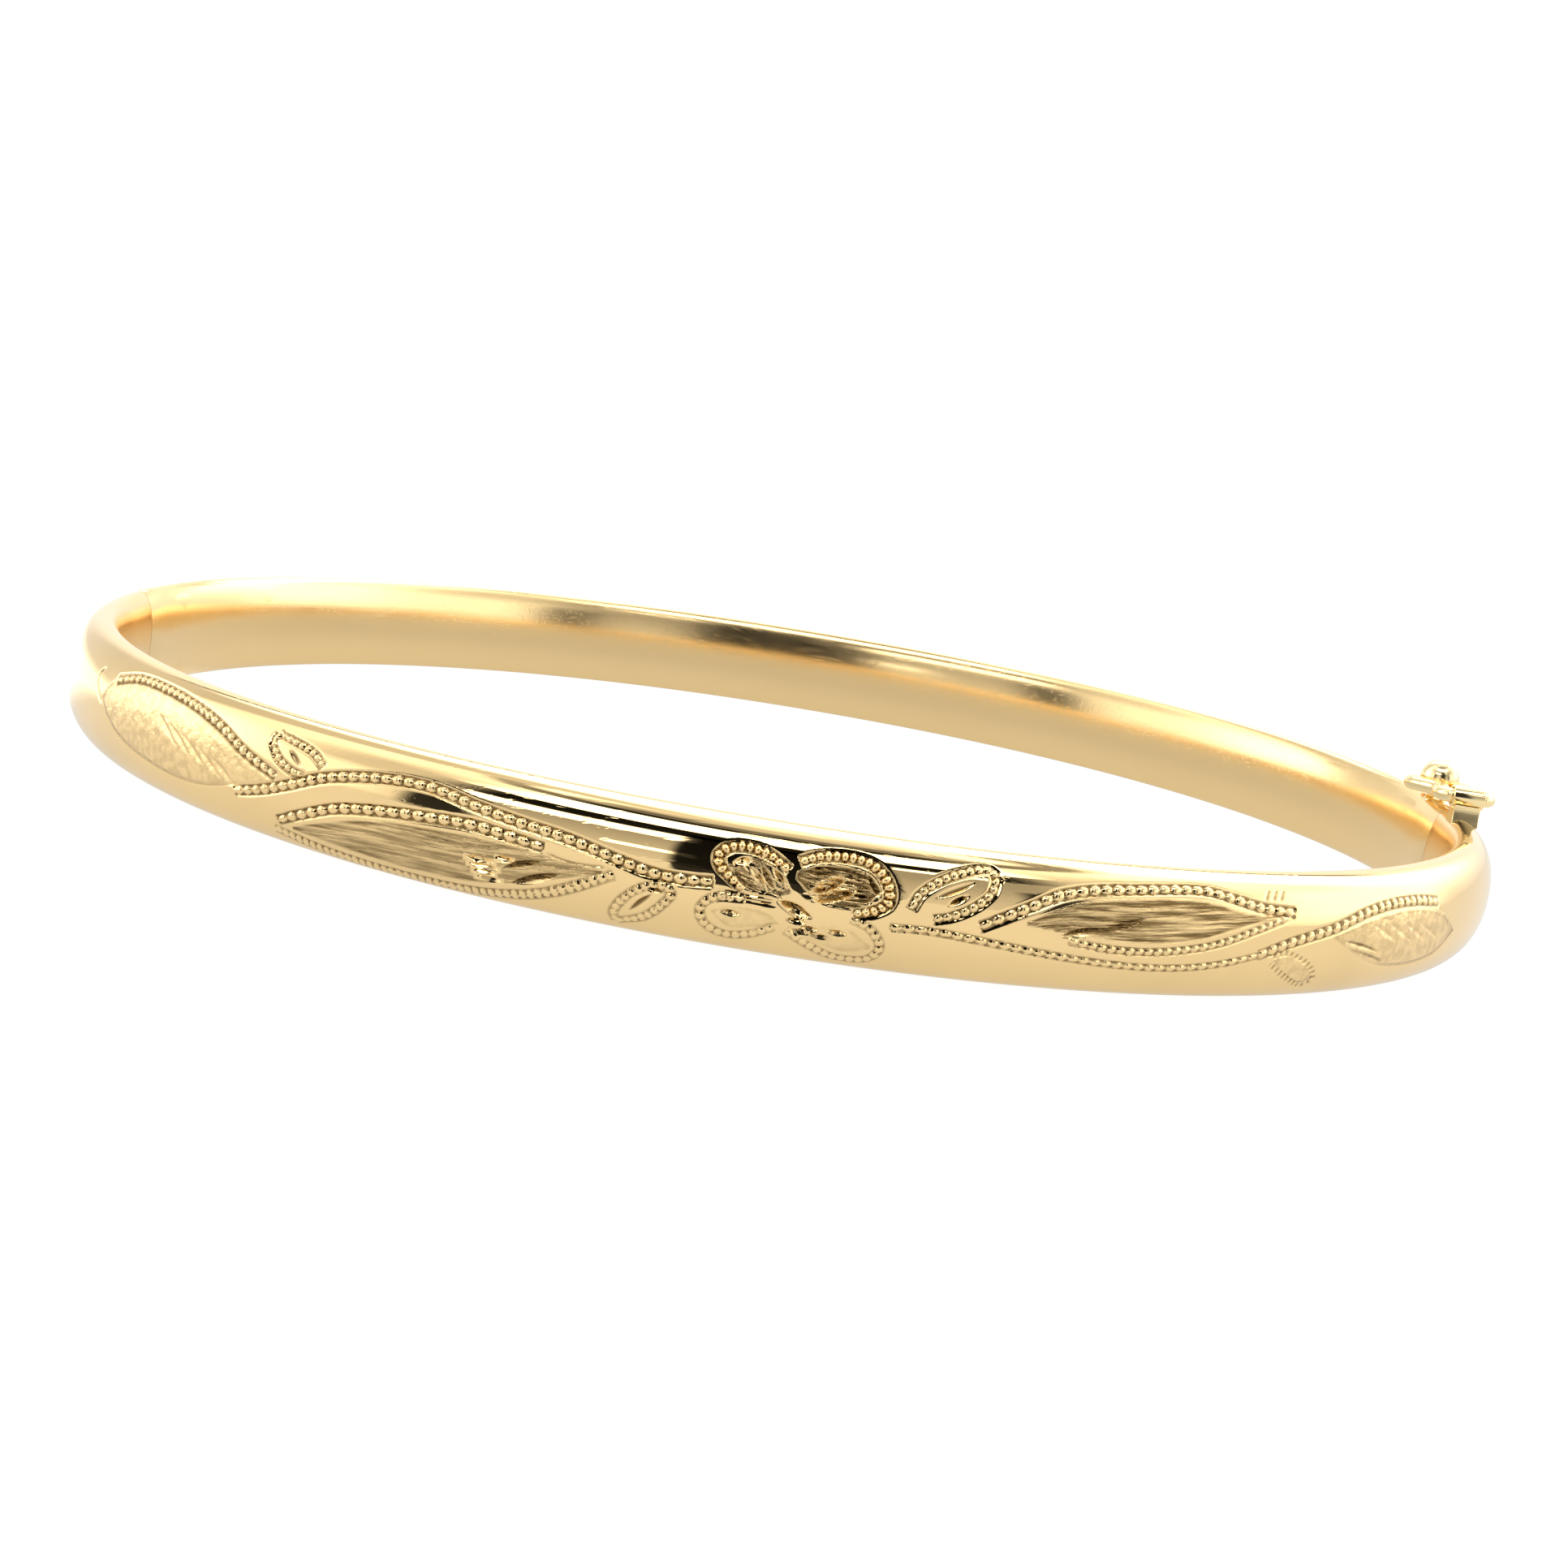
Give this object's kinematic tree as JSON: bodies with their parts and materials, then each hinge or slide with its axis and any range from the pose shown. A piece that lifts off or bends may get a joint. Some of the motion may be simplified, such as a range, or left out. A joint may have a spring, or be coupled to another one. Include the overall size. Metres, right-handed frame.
{
  "type": "bangle bracelet",
  "caption": "Hinged oval bangle bracelet: hollow domed half bands, knuckle hinge, spring-tongue box clasp with thumb button, and a figure-eight safety catch.",
  "frame": {"origin": "middle of the oval on the plane of the lower rim", "axes": "+Z along the wrist towards the rim with the safety catch, +X across the oval's long way from the hinge to the clasp, +Y from the engraved front half to the plain back half"},
  "size_m": [0.0657, 0.0588, 0.0066],
  "materials": {
    "polished_gold": "bright polished pale yellow gold",
    "engraved_gold": "polished yellow gold, hand engraved with beaded outlines and satin cut leaves",
    "spring_gold": "hard-rolled yellow gold, lightly brushed",
    "wire_gold": "polished yellow gold wire and small cast pieces"
  },
  "bodies": {
    "back_half": {"back_tube": "polished_gold", "back_hinge_plug": "polished_gold", "back_knuckle": "polished_gold", "back_clasp_plate": "polished_gold", "catch_box": "spring_gold", "safety_knob": "wire_gold"},
    "front_half": {"front_tube": "engraved_gold", "front_hinge_plug": "polished_gold", "front_knuckle_lower": "polished_gold", "front_knuckle_upper": "polished_gold", "hinge_pin": "spring_gold", "front_clasp_plate": "polished_gold", "tongue_base": "spring_gold", "barrel_saddle": "wire_gold", "safety_barrel": "wire_gold"},
    "spring_leaf": {"tongue_leaf": "spring_gold", "thumb_button": "polished_gold"},
    "safety_catch": {"safety_figure_eight": "wire_gold"}
  },
  "joints": [
    {"name": "band_hinge", "type": "hinge", "parent": "back_half", "child": "front_half", "pos_m": [-0.03175, 0, 0.00237], "axis": [0, 0, -1], "range_deg": [0, 60]},
    {"name": "thumb_press", "type": "hinge", "parent": "front_half", "child": "spring_leaf", "pos_m": [0.03117, 0.00337, 0.00237], "axis": [0, 0, -1], "range_deg": [0, 6], "stiffness_Nm_per_rad": 0.15},
    {"name": "safety_swivel", "type": "hinge", "parent": "front_half", "child": "safety_catch", "pos_m": [0.0311, -0.0025, 0.00575], "axis": [1, 0, 0], "range_deg": [0, 150]}
  ]
}
